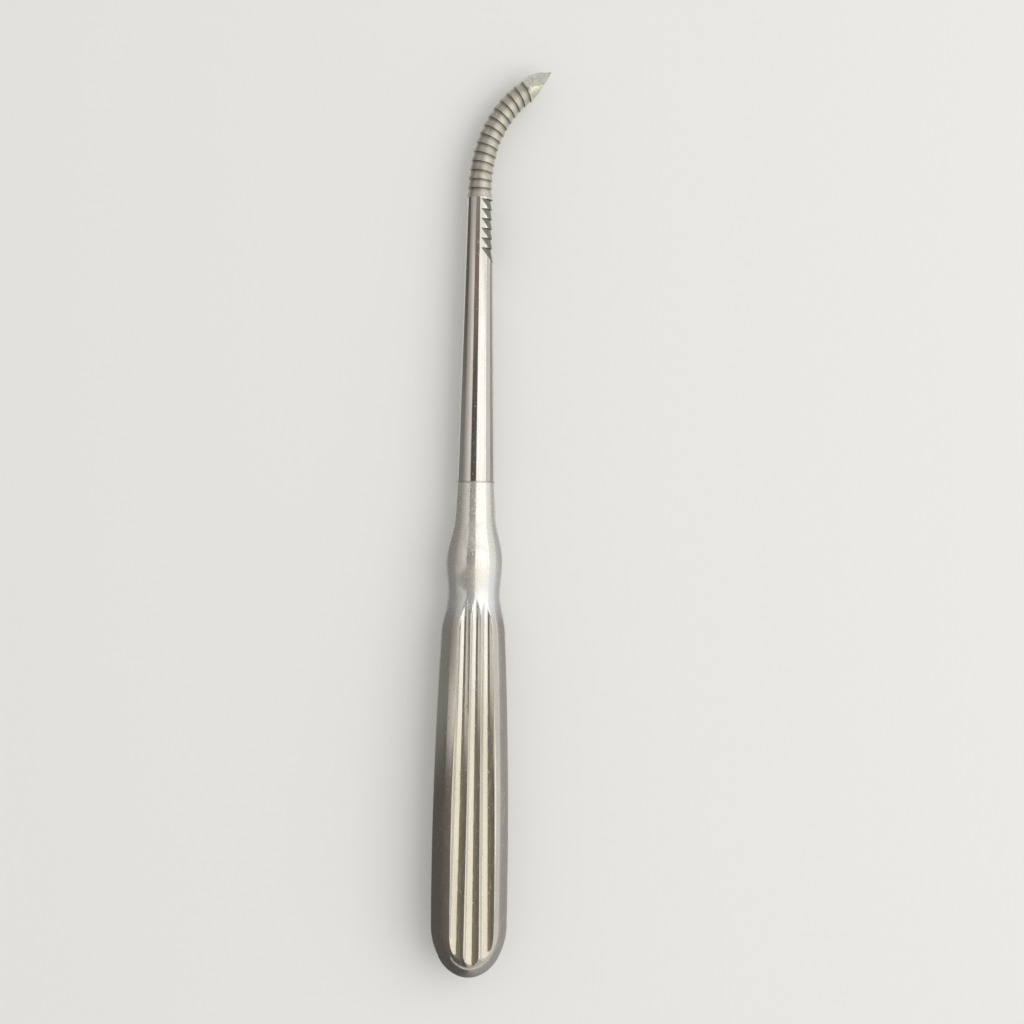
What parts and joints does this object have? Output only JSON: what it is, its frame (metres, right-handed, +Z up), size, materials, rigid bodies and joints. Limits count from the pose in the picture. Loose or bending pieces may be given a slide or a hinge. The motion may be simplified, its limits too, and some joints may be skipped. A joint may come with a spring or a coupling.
{
  "type": "surgical rasp",
  "caption": "A rigid hand rasp with a bent, ring-toothed end, a sharp faceted point, a tapered shank and a hollow fluted handle.",
  "frame": {"origin": "middle of its footprint on the surface it lies on, back of the handle down", "axes": "+Y along the tool to the rasp end, +X the side it bends to, +Z up through the fluted front"},
  "size_m": [0.0228, 0.1904, 0.0134],
  "materials": {
    "shank_steel": "mirror polish on the shank, matt grit-blasted on the rasp end",
    "handle_steel": "polished, worn with fine scratches, satin at the neck",
    "silver_solder": "dull satin",
    "bush_steel": "turned",
    "weld_metal": "ground flush and polished"
  },
  "bodies": {
    "root": {"rasp_shank": "shank_steel", "front_handle_shell": "handle_steel", "back_handle_shell": "handle_steel", "neck_solder_ring": "silver_solder", "tang_bush": "bush_steel", "seam_weld": "weld_metal"}
  },
  "joints": []
}
